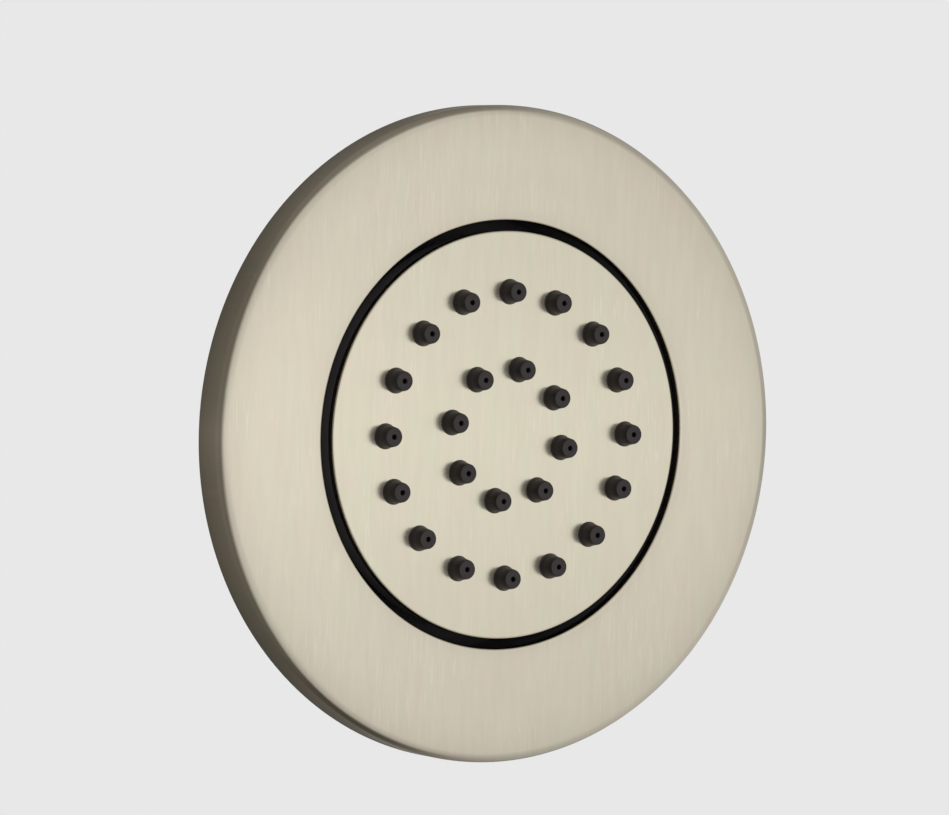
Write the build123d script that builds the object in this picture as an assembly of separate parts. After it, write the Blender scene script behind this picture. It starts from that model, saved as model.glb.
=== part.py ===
from build123d import *

import math
import os

# Round shower body jet set in a wall recess, with a spray head that swivels on a ball.
# Every piece is drawn with the spray axis along +Z, where s is the height in front of the wall surface.
# It is then turned so that the jet sprays along -Y, +Z is up and the wall surface is the plane Y = 0.
# All sizes are in millimetres and all angles in degrees.

# Cover plate
PLATE_D = 120.0
PLATE_BAND = 20.95  # width of the visible metal band round the opening
PLATE_WALL = 2.0
PLATE_EDGE_R = 2.0
PLATE_CORNER_R = 1.0  # inside corner between the band and the rim
OPENING_EDGE_R = 0.5
PLATE_ROOM = 1.5  # air between the cup's flange and the plate

# Recess cup, its flange and the gasket on the wall
GASKET_T = 1.2
FLANGE_T = 3.0
FLANGE_CLEARANCE = 0.6  # between the flange's edge and the plate's rim
COLLAR_GAP = 0.2  # between the cup's collar and the back of the plate
CUP_WALL = 2.2
CUP_STRAIGHT = 13.0  # depth of the straight wall behind the wall surface
CUP_BASE_D = 52.0  # flat floor of the cup
CUP_BASE_T = 2.5
CUP_BEND_R = 5.0  # outside radius where the cup's wall turns inwards
CUP_RIB_COUNT = 8
CUP_RIB_T = 2.0
CUP_RIB_L = 8.0  # straight back edge of each rib, in line with the cup's side
CUP_RIB_INSET = 0.6
WALL_SCREW_D = 4.5
WALL_SCREW_HEAD_D = 8.2
WALL_SCREW_COUNT = 4
FLANGE_CORD_D = 1.8  # section of the ring that grips the plate's rim
CORD_SLACK = 0.05  # air left round each sealing ring

# Spray face
FACE_GAP = 1.85  # shadow gap between the face and the plate
FACE_PROUD = 0.6  # the face stands this far in front of the plate
FACE_T = 1.6
FACE_EDGE_R = 0.4
FACE_MARGIN = 11.1  # from the face's edge to the outer ring of nozzles
INNER_RING_D = 24.3
OUTER_COUNT = 16
INNER_COUNT = 8

# One nozzle, measured from the front of the spray face
NOZZLE_FOOT_D = 4.65  # in the face's hole
SKIRT_H = 0.9  # flared part above the foot
TIP_FOOT_D = 4.0
TIP_END_D = 3.35
TIP_EDGE_R = 0.25
NOZZLE_H = 3.05
JET_D = 0.9
JET_LENGTH = 1.4
INLET_D = 2.4
NOZZLE_CLEARANCE = 0.05  # round each nozzle's foot in its hole

# Nozzle mat and the water chamber behind it
MAT_T = 1.6
MAT_SEAL = 1.4  # band of the mat that is clamped round the chamber
MAT_CLEARANCE = 0.1
CHAMBER_EDGE = 0.6  # from the nozzles to the chamber's wall
CHAMBER_DEPTH = 4.0
CHAMBER_WALL = 2.5
BODY_SETBACK = 0.5  # the chamber stands this far inside the face's edge
BODY_SIDE = 4.5  # straight side of the chamber behind the face
RIB_COUNT = 6
RIB_T = 1.6
RIB_H = 2.4

# Screws that hold the chamber to the face
FACE_SCREW_COUNT = 6
FACE_SCREW_D = 2.5
FACE_SCREW_CLEARANCE = 0.3
FACE_SCREW_HEAD_D = 4.6
FACE_SCREW_HEAD_H = 1.8
FACE_SCREW_KEY = 1.5  # across the flats of the driver's recess
FACE_SCREW_SEAT = 1.5  # chamber wall under each head
FACE_BOSS_D = 4.4
FACE_BOSS_H = 2.6
BOSS_CLEARANCE = 0.2

# Ball swivel
TILT_LIMIT_DEG = 12.0  # half angle of the cone that the head can swing in
SWING_CLEARANCE = 0.5
BALL_D = 17.0
BALL_BORE_D = 7.0
BALL_FRONT = 7.0  # from the ball's centre to its flat front
NECK_D = 10.0
SEAT_WALL = 2.0  # chamber wall in front of the ball's seat
SEAT_ROOM = 0.4  # between the ball and that wall
SLIP = 0.04  # running clearance on the ball
LINER_T = 1.2  # friction ring round the back of the ball
LINER_REAR_DEG = 52.0  # angles on the ball are measured from the rear of its axis
LINER_FRONT_DEG = 83.0
LINER_SPLIT = 1.6
SEAT_REAR_DEG = 106.0
SEAT_FRONT_DEG = 144.0
SEAT_CORD_D = 1.6  # rubber ring that presses the seat on the ball
SOCKET_WALL = 2.65
SOCKET_END = 0.9  # the socket stops this far in front of the ball's centre
NUT_WALL = 2.8
NUT_THREAD = 4.0  # length of socket that the nut covers
NUT_LIP = 0.6  # behind the liner's seat
NUT_FLUTES = 12
FLUTE_D = 3.0
THREAD_GAP = 0.05

# Supply connection behind the ball
HEX_AF = 16.0
HEX_H = 4.0
SPIGOT_D = 13.2
SPIGOT_L = 8.0
BALL_CORD_D = 1.8
INLET_THREAD_D = 20.96  # half-inch pipe thread for the supply
INLET_THREAD_L = 14.0
INLET_BORE_D = 15.2
INLET_BORE_L = 14.5
INLET_CHAMFER = 1.0
CLAMP_D = 26.4  # thicker thread for the lock nut
INLET_FLANGE_D = 34.0
INLET_FLANGE_T = 2.5
INLET_FLATS = 30.0
BASE_CLEARANCE = 0.2
WASHER_T = 1.5
WASHER_BAND = 2.6
LOCK_NUT_AF = 34.0
LOCK_NUT_T = 6.0
HEX_CHAMFER = 0.8

# Flow regulator and strainer inside the inlet
INSERT_GAP = 0.05
REGULATOR_H = 5.0
REGULATOR_CORE_D = 5.2
REGULATOR_RIM = 1.4
REGULATOR_FLOOR = 1.2
REGULATOR_HOLES = 8
REGULATOR_HOLE_D = 1.4
REGULATOR_CORD_D = 1.9
STRAINER_H = 3.0
STRAINER_FLOOR = 0.8
STRAINER_RIM = 1.0
STRAINER_HOLE_D = 1.5
STRAINER_PITCH = 2.4

# Radii, from the plate inwards
plate_r = PLATE_D / 2
rim_in_r = plate_r - PLATE_WALL
opening_r = plate_r - PLATE_BAND
face_r = opening_r - FACE_GAP
body_r = face_r - BODY_SETBACK
outer_ring_r = face_r - FACE_MARGIN
inner_ring_r = INNER_RING_D / 2
chamber_r = outer_ring_r + NOZZLE_FOOT_D / 2 + CHAMBER_EDGE
mat_r = chamber_r + MAT_SEAL
mat_seat_r = mat_r + MAT_CLEARANCE
screw_ring_r = (mat_seat_r + body_r) / 2
outer_pitch = 360 / OUTER_COUNT
inner_turn = -outer_pitch / 2

# Heights, from the wall surface to the face and back to the ball
flange_top = GASKET_T + FLANGE_T
plate_back = flange_top + PLATE_ROOM
plate_front = plate_back + PLATE_WALL
face_front = plate_front + FACE_PROUD
face_back = face_front - FACE_T
mat_back = face_back - MAT_T
chamber_floor = mat_back - CHAMBER_DEPTH
chamber_rear = chamber_floor - CHAMBER_WALL
seat_stop = chamber_floor - SEAT_WALL
ball_r = BALL_D / 2
ball_s = seat_stop - SEAT_ROOM - ball_r

# Swivel radii, and what the tilted head needs round it
tilt = math.radians(TILT_LIMIT_DEG)
liner_r = ball_r + SLIP + LINER_T
socket_r = liner_r + SLIP
socket_out_r = socket_r + SOCKET_WALL
nut_r = socket_out_r + THREAD_GAP + NUT_WALL
neck_r = NECK_D / 2
nut_rear = ball_s - liner_r - NUT_LIP
nut_front = ball_s + SOCKET_END + NUT_THREAD
nut_reach = ball_s - nut_rear
nut_hole_r = neck_r / math.cos(tilt) + nut_reach * math.tan(tilt) + SWING_CLEARANCE
hex_front = ball_s - nut_reach * math.cos(tilt) - nut_r * math.sin(tilt) - SWING_CLEARANCE
face_reach = face_front - ball_s
cup_r = face_r * math.cos(tilt) + face_reach * math.sin(tilt) + SWING_CLEARANCE
cup_out_r = cup_r + CUP_WALL

# Supply connection, from the ball's hexagon back to the end of the inlet
hex_rear = hex_front - HEX_H
inlet_flange_rear = hex_rear - INLET_FLANGE_T
cup_floor = inlet_flange_rear - WASHER_T
cup_rear = cup_floor - CUP_BASE_T
lock_nut_rear = cup_rear - LOCK_NUT_T
inlet_rear = lock_nut_rear - INLET_THREAD_L
inlet_r = INLET_THREAD_D / 2
clamp_r = CLAMP_D / 2
inlet_bore_r = INLET_BORE_D / 2
inlet_bore_end = inlet_rear + INLET_BORE_L
insert_r = inlet_bore_r - INSERT_GAP

# Flange of the cup
flange_r = rim_in_r - FLANGE_CLEARANCE
groove_r = rim_in_r - FLANGE_CORD_D - CORD_SLACK
groove_s = GASKET_T + FLANGE_T / 2
wall_screw_r = (cup_out_r + groove_r) / 2


def on_profile(radius, height):
    """A point of a turned section, which is drawn in the XZ plane."""
    return (radius, 0, height)


def on_ball(radius, angle):
    """A section point on a sphere round the ball's centre, its angle measured from the rear of the axis."""
    turn = math.radians(angle)
    return on_profile(radius * math.sin(turn), ball_s - radius * math.cos(turn))


def ball_arc(radius, start, end):
    """Section arc on a sphere round the ball's centre."""
    middle = (start + end) / 2
    return ThreePointArc(on_ball(radius, start), on_ball(radius, middle), on_ball(radius, end))


def turned(*corners):
    """Solid turned from a section with straight sides, given as (radius, height) corners."""
    points = [on_profile(*corner) for corner in corners]
    return revolve(make_face(Polyline(*points, close=True)), Axis.Z)


def turned_edges(*edges):
    """Solid turned from a section given as its edges in order."""
    return revolve(make_face(Wire(edges)), Axis.Z)


def rod(radius, low, high):
    """Solid cylinder on the axis between two heights."""
    base = (Align.CENTER, Align.CENTER, Align.MIN)
    return Pos(0, 0, low) * Cylinder(radius, high - low, align=base)


def ring(inner, outer, low, high):
    """Flat ring on the axis between two heights."""
    return rod(outer, low, high) - rod(inner, low, high)


def hexagon(across_flats, low, high):
    """Six-sided prism on the axis, its corners turned off at both ends."""
    flat_r = across_flats / 2
    corner_r = flat_r / math.cos(math.pi / 6)
    prism = extrude(Pos(0, 0, low) * RegularPolygon(corner_r, 6), high - low)
    turn_off = HEX_CHAMFER * math.tan(math.pi / 6)
    blank = turned(
        (0, low),
        (corner_r - HEX_CHAMFER, low),
        (corner_r, low + turn_off),
        (corner_r, high - turn_off),
        (corner_r - HEX_CHAMFER, high),
        (0, high),
    )
    return prism & blank


def sealing_ring(centre_r, cord_d, height):
    """Round rubber ring on the axis."""
    return Pos(0, 0, height) * Torus(centre_r, cord_d / 2 - CORD_SLACK)


def circle_edges(solid, radius, height):
    """The round edges of a solid at one radius and height about the axis."""
    near = 1e-4
    return [
        edge
        for edge in solid.edges().filter_by(GeomType.CIRCLE)
        if abs(edge.radius - radius) < near and abs(edge.arc_center.Z - height) < near
    ]


def around(radius, count, start=0):
    """Evenly spaced places on a circle about the axis."""
    return PolarLocations(radius, count, start_angle=start)


def nozzle_places():
    """Places of all nozzles: an outer ring, and an inner ring turned by half an outer pitch."""
    outer = around(outer_ring_r, OUTER_COUNT)
    inner = around(inner_ring_r, INNER_COUNT, inner_turn)
    return [*outer, *inner]


def wall_screw_places():
    """Places of the screws through the flange, on the diagonals."""
    return around(wall_screw_r, WALL_SCREW_COUNT, 180 / WALL_SCREW_COUNT)


def cover_plate():
    """Metal plate with a rounded outer edge and a deep rim that hides the flange."""
    plate = turned(
        (rim_in_r, 0),
        (plate_r, 0),
        (plate_r, plate_front),
        (opening_r, plate_front),
        (opening_r, plate_back),
        (rim_in_r, plate_back),
    )
    plate = fillet(circle_edges(plate, plate_r, plate_front), PLATE_EDGE_R)
    plate = fillet(circle_edges(plate, opening_r, plate_front), OPENING_EDGE_R)
    return fillet(circle_edges(plate, rim_in_r, plate_back), PLATE_CORNER_R)


def wall_gasket():
    """Soft gasket between the cup's flange and the wall."""
    gasket = ring(cup_out_r, groove_r, 0, GASKET_T)
    return gasket - [place * rod(WALL_SCREW_D / 2, 0, GASKET_T) for place in wall_screw_places()]


def recess_cup():
    """Moulded cup in the wall, with a screw flange and a collar that ends behind the plate."""
    base_r = CUP_BASE_D / 2
    hole_r = clamp_r + BASE_CLEARANCE
    collar_top = plate_back - COLLAR_GAP
    cup = turned(
        (hole_r, cup_floor),
        (base_r, cup_floor),
        (cup_r, -CUP_STRAIGHT),
        (cup_r, collar_top),
        (cup_out_r, collar_top),
        (cup_out_r, flange_top),
        (flange_r, flange_top),
        (flange_r, GASKET_T),
        (cup_out_r, GASKET_T),
        (cup_out_r, -CUP_STRAIGHT),
        (base_r + CUP_WALL, cup_rear),
        (hole_r, cup_rear),
    )
    cup = fillet(circle_edges(cup, cup_out_r, -CUP_STRAIGHT), CUP_BEND_R)
    cup = fillet(circle_edges(cup, base_r + CUP_WALL, cup_rear), CUP_BEND_R)
    cup -= ring(groove_r, plate_r, groove_s - FLANGE_CORD_D / 2, groove_s + FLANGE_CORD_D / 2)
    cup += [place * cup_rib() for place in around(0, CUP_RIB_COUNT)]
    head_depth = (WALL_SCREW_HEAD_D - WALL_SCREW_D) / 2
    screw_hole = rod(WALL_SCREW_D / 2, GASKET_T, flange_top) + turned(
        (0, flange_top - head_depth),
        (WALL_SCREW_D / 2, flange_top - head_depth),
        (WALL_SCREW_HEAD_D / 2, flange_top),
        (0, flange_top),
    )
    return cup - [place * screw_hole for place in wall_screw_places()]


def cup_rib():
    """Rib that stiffens the sloped back of the cup; its inner edge lies in the middle of the wall."""
    side_r = cup_out_r - CUP_RIB_INSET
    outline = Polyline(
        on_profile(cup_r + CUP_WALL / 2, -CUP_STRAIGHT),
        on_profile(side_r, -CUP_STRAIGHT),
        on_profile(side_r, -CUP_STRAIGHT - CUP_RIB_L),
        on_profile((CUP_BASE_D + CUP_WALL) / 2, (cup_floor + cup_rear) / 2),
        close=True,
    )
    return extrude(make_face(outline), CUP_RIB_T / 2, both=True)


def flange_ring():
    """Rubber ring in the flange's groove, which holds the pushed-on plate."""
    return sealing_ring(groove_r + FLANGE_CORD_D / 2, FLANGE_CORD_D, groove_s)


def face_disc():
    """Spray face: a thin metal disc with a rounded edge and threaded bosses on its back."""
    disc = rod(face_r, face_back, face_front)
    disc = fillet(circle_edges(disc, face_r, face_front), FACE_EDGE_R)
    boss_end = face_back - FACE_BOSS_H
    boss = ring(FACE_SCREW_D / 2, FACE_BOSS_D / 2, boss_end, face_back)
    disc += [place * boss for place in around(screw_ring_r, FACE_SCREW_COUNT)]
    hole = rod(NOZZLE_FOOT_D / 2 + NOZZLE_CLEARANCE, face_back, face_front)
    return disc - [place * hole for place in nozzle_places()]


def nozzle():
    """One nozzle of the mat: a foot that fills its hole in the face, a flared skirt and a tapered tip."""
    end = face_front + NOZZLE_H
    body = turned(
        (0, face_back),
        (NOZZLE_FOOT_D / 2, face_back),
        (NOZZLE_FOOT_D / 2, face_front),
        (TIP_FOOT_D / 2, face_front + SKIRT_H),
        (TIP_END_D / 2, end),
        (0, end),
    )
    return fillet(circle_edges(body, TIP_END_D / 2, end), TIP_EDGE_R)


def nozzle_bore():
    """Waterway of one nozzle: a wide tapered inlet that ends in a narrow jet."""
    jet_start = face_front + NOZZLE_H - JET_LENGTH
    return turned(
        (0, mat_back),
        (INLET_D / 2, mat_back),
        (JET_D / 2, jet_start),
        (JET_D / 2, face_front + NOZZLE_H),
        (0, face_front + NOZZLE_H),
    )


def nozzle_mat():
    """Silicone mat behind the face, moulded in one piece with all its nozzles."""
    mat = rod(mat_r, mat_back, face_back)
    mat += [place * nozzle() for place in nozzle_places()]
    return mat - [place * nozzle_bore() for place in nozzle_places()]


def chamber_back():
    """Back of the spray head: water chamber, clamping rim, ribs and the socket for the ball."""
    throat_r = on_ball(ball_r, SEAT_FRONT_DEG)[0]
    body_low = face_back - BODY_SIDE
    back = turned(
        (throat_r, chamber_floor),
        (chamber_r, chamber_floor),
        (chamber_r, mat_back),
        (mat_seat_r, mat_back),
        (mat_seat_r, face_back),
        (body_r, face_back),
        (body_r, body_low),
        (chamber_r, chamber_rear),
        (socket_out_r, chamber_rear),
        (socket_out_r, ball_s + SOCKET_END),
        (socket_r, ball_s + SOCKET_END),
        (socket_r, seat_stop),
        (throat_r, seat_stop),
    )
    rib_outline = Polyline(
        on_profile(socket_out_r, chamber_rear),
        on_profile(chamber_r, chamber_rear),
        on_profile(nut_r, chamber_rear - RIB_H),
        on_profile(socket_out_r, chamber_rear - RIB_H),
        close=True,
    )
    rib = extrude(make_face(rib_outline), RIB_T / 2, both=True)
    half_pitch = 180 / RIB_COUNT
    back += [place * rib for place in around(0, RIB_COUNT, half_pitch)]
    return back - [place * face_screw_hole() for place in around(screw_ring_r, FACE_SCREW_COUNT)]


def face_screw_seat():
    """Height of the seat under the screw heads."""
    return face_back - FACE_BOSS_H - BOSS_CLEARANCE - FACE_SCREW_SEAT


def face_screw_hole():
    """Stepped hole in the chamber's rim: boss in front, screw shank, and head behind."""
    seat = face_screw_seat()
    boss_pocket = rod(FACE_BOSS_D / 2 + BOSS_CLEARANCE, seat + FACE_SCREW_SEAT, face_back)
    shank = rod(FACE_SCREW_D / 2 + FACE_SCREW_CLEARANCE, seat, face_back)
    head = rod(FACE_SCREW_HEAD_D / 2 + FACE_SCREW_CLEARANCE, chamber_rear, seat)
    return boss_pocket + shank + head


def chamber_screws():
    """Screws from behind through the chamber's rim into the face's bosses."""
    seat = face_screw_seat()
    head_low = seat - FACE_SCREW_HEAD_H
    screw = rod(FACE_SCREW_HEAD_D / 2, head_low, seat) + rod(FACE_SCREW_D / 2, seat, face_back)
    key_r = FACE_SCREW_KEY / 2 / math.cos(math.pi / 6)
    screw -= extrude(Pos(0, 0, head_low) * RegularPolygon(key_r, 6), FACE_SCREW_HEAD_H / 2)
    return Compound([place * screw for place in around(screw_ring_r, FACE_SCREW_COUNT)])


def swivel_ball():
    """Hollow ball on a neck, with a hexagon and a spigot that screws into the inlet."""
    spigot_rear = hex_rear - SPIGOT_L
    ball = Pos(0, 0, ball_s) * Sphere(ball_r) + rod(neck_r, hex_front, ball_s)
    ball += hexagon(HEX_AF, hex_rear, hex_front) + rod(SPIGOT_D / 2, spigot_rear, hex_rear)
    ball -= rod(ball_r, ball_s + BALL_FRONT, ball_s + BALL_D)
    return ball - rod(BALL_BORE_D / 2, spigot_rear, ball_s + BALL_FRONT)


def ball_seat():
    """Soft seat in front of the ball, which seals the waterway into the chamber."""
    inner_r = ball_r + SLIP
    outer_r = socket_r - SLIP
    throat = on_ball(inner_r, SEAT_FRONT_DEG)
    lip = on_ball(inner_r, SEAT_REAR_DEG)
    seat = turned_edges(
        ball_arc(inner_r, SEAT_FRONT_DEG, SEAT_REAR_DEG),
        Line(lip, on_profile(outer_r, lip[2])),
        Line(on_profile(outer_r, lip[2]), on_profile(outer_r, seat_stop)),
        Line(on_profile(outer_r, seat_stop), on_profile(throat[0], seat_stop)),
        Line(on_profile(throat[0], seat_stop), throat),
    )
    return seat - ring(socket_r - SEAT_CORD_D, socket_r, seat_stop - SEAT_CORD_D, seat_stop)


def seat_ring():
    """Rubber ring in the step of the ball's seat, which keeps the seat pressed on the ball."""
    return sealing_ring(socket_r - SEAT_CORD_D / 2, SEAT_CORD_D, seat_stop - SEAT_CORD_D / 2)


def friction_ring():
    """Split plastic ring of even thickness round the back of the ball."""
    inner_r = ball_r + SLIP
    liner = turned_edges(
        ball_arc(inner_r, LINER_REAR_DEG, LINER_FRONT_DEG),
        Line(on_ball(inner_r, LINER_FRONT_DEG), on_ball(liner_r, LINER_FRONT_DEG)),
        ball_arc(liner_r, LINER_FRONT_DEG, LINER_REAR_DEG),
        Line(on_ball(liner_r, LINER_REAR_DEG), on_ball(inner_r, LINER_REAR_DEG)),
    )
    split = Pos(0, liner_r, ball_s) * Box(LINER_SPLIT, 2 * liner_r, 2 * liner_r)
    return liner - split


def swivel_nut():
    """Fluted nut on the socket, which holds the friction ring against the ball."""
    thread_r = socket_out_r + THREAD_GAP
    step = ball_s + SOCKET_END - THREAD_GAP
    mouth = math.degrees(math.asin(nut_hole_r / socket_r))
    lip = on_ball(socket_r, mouth)
    nut = turned_edges(
        ball_arc(socket_r, mouth, 90),
        Line(on_profile(socket_r, ball_s), on_profile(socket_r, step)),
        Line(on_profile(socket_r, step), on_profile(thread_r, step)),
        Line(on_profile(thread_r, step), on_profile(thread_r, nut_front)),
        Line(on_profile(thread_r, nut_front), on_profile(nut_r, nut_front)),
        Line(on_profile(nut_r, nut_front), on_profile(nut_r, nut_rear)),
        Line(on_profile(nut_r, nut_rear), on_profile(nut_hole_r, nut_rear)),
        Line(on_profile(nut_hole_r, nut_rear), lip),
    )
    flute = rod(FLUTE_D / 2, nut_rear, nut_front)
    flute_ring_r = nut_r + FLUTE_D / 4
    return nut - [place * flute for place in around(flute_ring_r, NUT_FLUTES)]


def ball_ring():
    """Rubber ring that seals the ball's spigot in the inlet."""
    return sealing_ring(SPIGOT_D / 2 + BALL_CORD_D / 2, BALL_CORD_D, hex_rear - BALL_CORD_D / 2)


def inlet_nipple():
    """Stepped inlet through the cup's floor, with a flange that has two flats for a spanner."""
    flange = rod(INLET_FLANGE_D / 2, inlet_flange_rear, hex_rear)
    flange &= Pos(0, 0, hex_rear) * Box(INLET_FLANGE_D, INLET_FLATS, INLET_FLANGE_D)
    shank = turned(
        (0, inlet_rear),
        (inlet_r - INLET_CHAMFER, inlet_rear),
        (inlet_r, inlet_rear + INLET_CHAMFER),
        (inlet_r, lock_nut_rear),
        (clamp_r, lock_nut_rear),
        (clamp_r, inlet_flange_rear),
        (0, inlet_flange_rear),
    )
    nipple = flange + shank
    nipple -= rod(SPIGOT_D / 2 + THREAD_GAP, hex_rear - SPIGOT_L - THREAD_GAP, hex_rear)
    nipple -= rod(SPIGOT_D / 2 + BALL_CORD_D, hex_rear - BALL_CORD_D, hex_rear)
    nipple -= rod(BALL_BORE_D / 2, inlet_rear, hex_rear)
    return nipple - rod(inlet_bore_r, inlet_rear, inlet_bore_end)


def inlet_washer():
    """Rubber washer between the inlet's flange and the cup's floor."""
    inner_r = clamp_r + BASE_CLEARANCE
    return ring(inner_r, inner_r + WASHER_BAND, cup_floor, inlet_flange_rear)


def lock_nut():
    """Nut behind the cup that clamps the inlet to it."""
    nut = hexagon(LOCK_NUT_AF, lock_nut_rear, cup_rear)
    return nut - rod(clamp_r + THREAD_GAP, lock_nut_rear, cup_rear)


def flow_regulator():
    """Regulator cup in the inlet: a core in a ring of holes, which its rubber ring throttles."""
    low = inlet_bore_end - REGULATOR_H
    floor = inlet_bore_end - REGULATOR_FLOOR
    core_r = REGULATOR_CORE_D / 2
    rim_r = insert_r - REGULATOR_RIM
    body = rod(insert_r, low, inlet_bore_end) - ring(core_r, rim_r, low, floor)
    hole = rod(REGULATOR_HOLE_D / 2, floor, inlet_bore_end)
    hole_ring_r = (core_r + rim_r) / 2
    return body - [place * hole for place in around(hole_ring_r, REGULATOR_HOLES)]


def regulator_ring():
    """Rubber ring round the regulator's core."""
    height = inlet_bore_end - REGULATOR_FLOOR - REGULATOR_CORD_D / 2
    return sealing_ring(REGULATOR_CORE_D / 2 + REGULATOR_CORD_D / 2, REGULATOR_CORD_D, height)


def inlet_strainer():
    """Perforated strainer behind the regulator, which keeps grit out of the nozzles."""
    front = inlet_bore_end - REGULATOR_H
    rear = front - STRAINER_H
    floor_front = rear + STRAINER_FLOOR
    strainer = rod(insert_r, rear, front) - rod(insert_r - STRAINER_RIM, floor_front, front)
    hole = rod(STRAINER_HOLE_D / 2, rear, floor_front)
    room = insert_r - STRAINER_RIM - STRAINER_HOLE_D / 2
    rings = int(room / STRAINER_PITCH)
    holes = [hole]
    for step in range(1, rings + 1):
        holes += [place * hole for place in around(step * STRAINER_PITCH, 6 * step)]
    return strainer - holes


PIECES = [
    cover_plate,
    wall_gasket,
    recess_cup,
    flange_ring,
    face_disc,
    nozzle_mat,
    chamber_back,
    chamber_screws,
    swivel_ball,
    ball_seat,
    seat_ring,
    friction_ring,
    swivel_nut,
    ball_ring,
    inlet_nipple,
    inlet_washer,
    lock_nut,
    flow_regulator,
    regulator_ring,
    inlet_strainer,
]

os.makedirs("parts", exist_ok=True)
facing_out = Rot(90, 0, 0)
for piece in PIECES:
    export_step(facing_out * piece(), f"parts/{piece.__name__}.step")
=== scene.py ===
import math

import bmesh
import bpy
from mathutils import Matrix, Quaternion, Vector


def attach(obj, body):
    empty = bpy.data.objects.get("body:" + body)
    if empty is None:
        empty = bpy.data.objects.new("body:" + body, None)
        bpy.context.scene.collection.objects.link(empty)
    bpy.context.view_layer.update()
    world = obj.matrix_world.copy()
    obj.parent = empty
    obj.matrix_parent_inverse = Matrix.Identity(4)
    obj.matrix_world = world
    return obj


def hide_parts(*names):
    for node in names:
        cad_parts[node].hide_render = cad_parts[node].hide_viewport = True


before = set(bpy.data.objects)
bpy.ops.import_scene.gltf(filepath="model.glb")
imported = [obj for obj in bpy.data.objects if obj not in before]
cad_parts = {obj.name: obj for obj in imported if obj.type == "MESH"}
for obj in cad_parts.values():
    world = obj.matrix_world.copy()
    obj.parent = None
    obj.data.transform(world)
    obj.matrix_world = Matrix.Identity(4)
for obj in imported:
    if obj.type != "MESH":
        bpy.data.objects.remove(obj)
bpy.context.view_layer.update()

# Sizes are in millimetres. A height is measured in front of the wall, so it runs along -Y.
MM = 0.001
DEGREE = math.pi / 180
NEAR = 2e-6  # metres within which a corner counts as found

# Cover plate
PLATE_R = 60.0
PLATE_FRONT = 7.7
PLATE_BACK = 5.7
PLATE_EDGE = 2.0
RIM_IN_R = 58.0
OPENING_R = 39.05
OPENING_EDGE = 0.5

# Spray disc
FACE_R = 37.2
FACE_FRONT = 8.3
FACE_BACK = 6.7
FACE_EDGE = 0.4
OUTER_RING_R = 26.1
INNER_RING_R = 12.15
OUTER_COUNT = 16
INNER_COUNT = 8
NOZZLE_HOLE_R = 2.34
NOZZLE_DRILL_PAST = 0.5
BOSS_RING_R = 33.6125
BOSS_COUNT = 6
BOSS_R = 2.2
BOSS_BORE_R = 1.25
BOSS_END = 4.1
BOSS_SUNK = 0.3

# Nozzle mat
MAT_R = 30.425
MAT_BACK = 5.1
NOZZLE_SUNK = 0.6
NOZZLE_FOOT_R = 2.29
NOZZLE_LIP_R = 2.36
NOZZLE_LIP_OVER = 0.01  # the lip lies just over the disc
TIP_FOOT_R = 2.06
TIP_FOOT = 9.2
TIP_END_R = 1.73
TIP_END = 11.35
JET_R = 0.45
JET_START = 9.95
JET_FLARE = 0.3
JET_FLARE_START = 0.1
JET_FLARE_PAST = 0.2
JET_INLET_R = 1.26
JET_INLET_PAST = 0.4

# Wall cup and gasket
CUP_R = 40.65
CUP_OUT_R = 42.85
CUP_STRAIGHT = -13.0
CUP_FLOOR = -31.59
CUP_REAR = -34.09
CUP_FLOOR_R = 26.0
CUP_REAR_R = 28.2
CUP_HOLE_R = 13.4
COLLAR_FRONT = 5.5
GASKET_T = 1.2
FLANGE_TOP = 4.2
FLANGE_R = 57.4
GROOVE_R = 56.15
GROOVE_LOW = 1.8
GROOVE_HIGH = 3.6
RIB_COUNT = 8
RIB_T = 2.0
RIB_LENGTH = 8.0
RIB_SUNK = 1.1
RIB_STEP = 0.6
RIB_EDGE = 0.4
WALL_SCREW_RING_R = 49.5
WALL_SCREW_R = 2.25
WALL_SCREW_HEAD_R = 4.1
WALL_SCREW_COUNT = 4
WALL_DRILL_PAST = 1.0

# Inlet and lock nut
FLANGE_FRONT = -27.59
FLANGE_REAR = -30.09
INLET_FLANGE_R = 17.0
INLET_FLATS = 30.0
SPANNER_W = 60.0
CLAMP_R = 13.2
LOCK_NUT_REAR = -40.09
LOCK_NUT_FLATS = 34.0
LOCK_NUT_BORE_R = 13.25
LOCK_NUT_CORNER = 0.8  # turned off the hexagon's corners
LOCK_NUT_LEAD = 0.7
LOCK_NUT_PAST = 0.02
INLET_REAR = -54.09
INLET_CREST_R = 10.48
INLET_ROOT_R = 9.34
INLET_LEAD = 0.1
THREAD_PITCH = 1.814
THREAD_RINGS = 20  # rings of corners in one pitch
THREAD_RUN_OUT = 1.4
THREAD_NEAR = 0.01
INLET_BORE_R = 7.6
INLET_BORE_END = -39.59
SPIGOT_BORE_R = 6.65
SPIGOT_BORE_END = -35.64
SEAL_BORE_R = 8.4
SEAL_BORE_END = -29.39
WATERWAY_R = 3.5

# A rounding below this radius gets this many facets
FACETS = [(0.3, 2), (1.5, 5), (math.inf, 9)]

# Degrees up to which faces are shaded as one
SMOOTH_ANGLE = 32
SMOOTH_THREAD = 50
SMOOTH_HEXAGON = 25


# Modelling by hand: select, draw a section, turn it, cut and join

def only(*pieces):
    """Selects these pieces alone, the last one active."""
    bpy.ops.object.select_all(action="DESELECT")
    for piece in pieces:
        piece.select_set(True)
    bpy.context.view_layer.objects.active = pieces[-1]


def spot(radius, height):
    """Point of a section: radius from the spray axis, height in front of the wall."""
    return Vector((radius, -height, 0)) * MM


def around(radius, count, start=0.0):
    """Evenly spaced places on a circle about the spray axis, from an angle in degrees."""
    turns = [math.radians(start + 360 * step / count) for step in range(count)]
    return [Vector((math.cos(turn), 0, math.sin(turn))) * radius * MM for turn in turns]


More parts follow.
